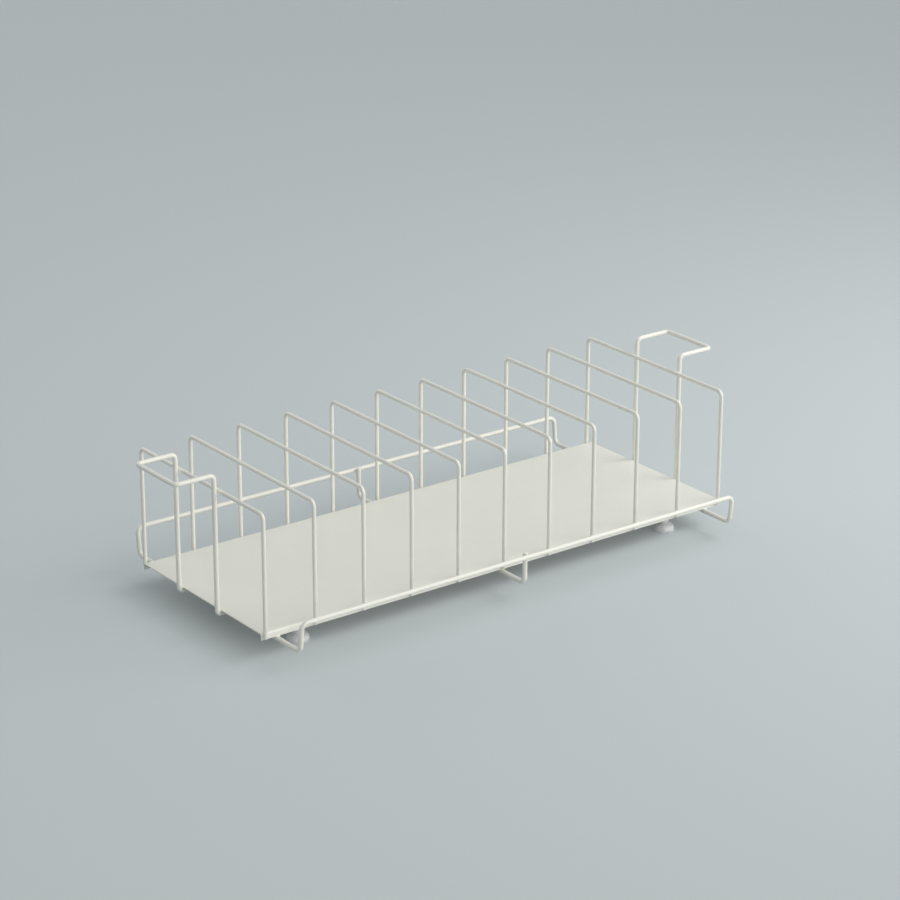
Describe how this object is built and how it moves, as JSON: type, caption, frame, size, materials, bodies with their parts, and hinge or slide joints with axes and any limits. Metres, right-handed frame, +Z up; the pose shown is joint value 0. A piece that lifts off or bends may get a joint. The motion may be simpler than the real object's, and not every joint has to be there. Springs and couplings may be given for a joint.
{
  "type": "clipboard rack",
  "caption": "Free-standing white wire rack with a flat tray, a row of inverted-U dividers for clipboards on edge, guard rails, end handles and cup feet.",
  "frame": {"origin": "on the counter under the middle of the tray", "axes": "+X along the row of dividers, +Z up, the front faces -Y"},
  "size_m": [0.7798, 0.3474, 0.1967],
  "materials": {
    "white_coat": "warm white powder coat, semi-gloss",
    "clear_vinyl": "milky translucent soft vinyl",
    "zinc_steel": "zinc plated"
  },
  "bodies": {
    "root": {"base_tray": "white_coat", "divider_01": "white_coat", "divider_02": "white_coat", "divider_03": "white_coat", "divider_04": "white_coat", "divider_05": "white_coat", "divider_06": "white_coat", "divider_07": "white_coat", "divider_08": "white_coat", "divider_09": "white_coat", "divider_10": "white_coat", "divider_11": "white_coat", "handle_left": "white_coat", "handle_right": "white_coat", "rail_front": "white_coat", "rail_back": "white_coat", "middle_cross_wire": "white_coat", "foot_1": "clear_vinyl", "foot_2": "clear_vinyl", "foot_3": "clear_vinyl", "foot_4": "clear_vinyl", "foot_stud_1": "zinc_steel", "foot_stud_2": "zinc_steel", "foot_stud_3": "zinc_steel", "foot_stud_4": "zinc_steel"}
  },
  "joints": []
}
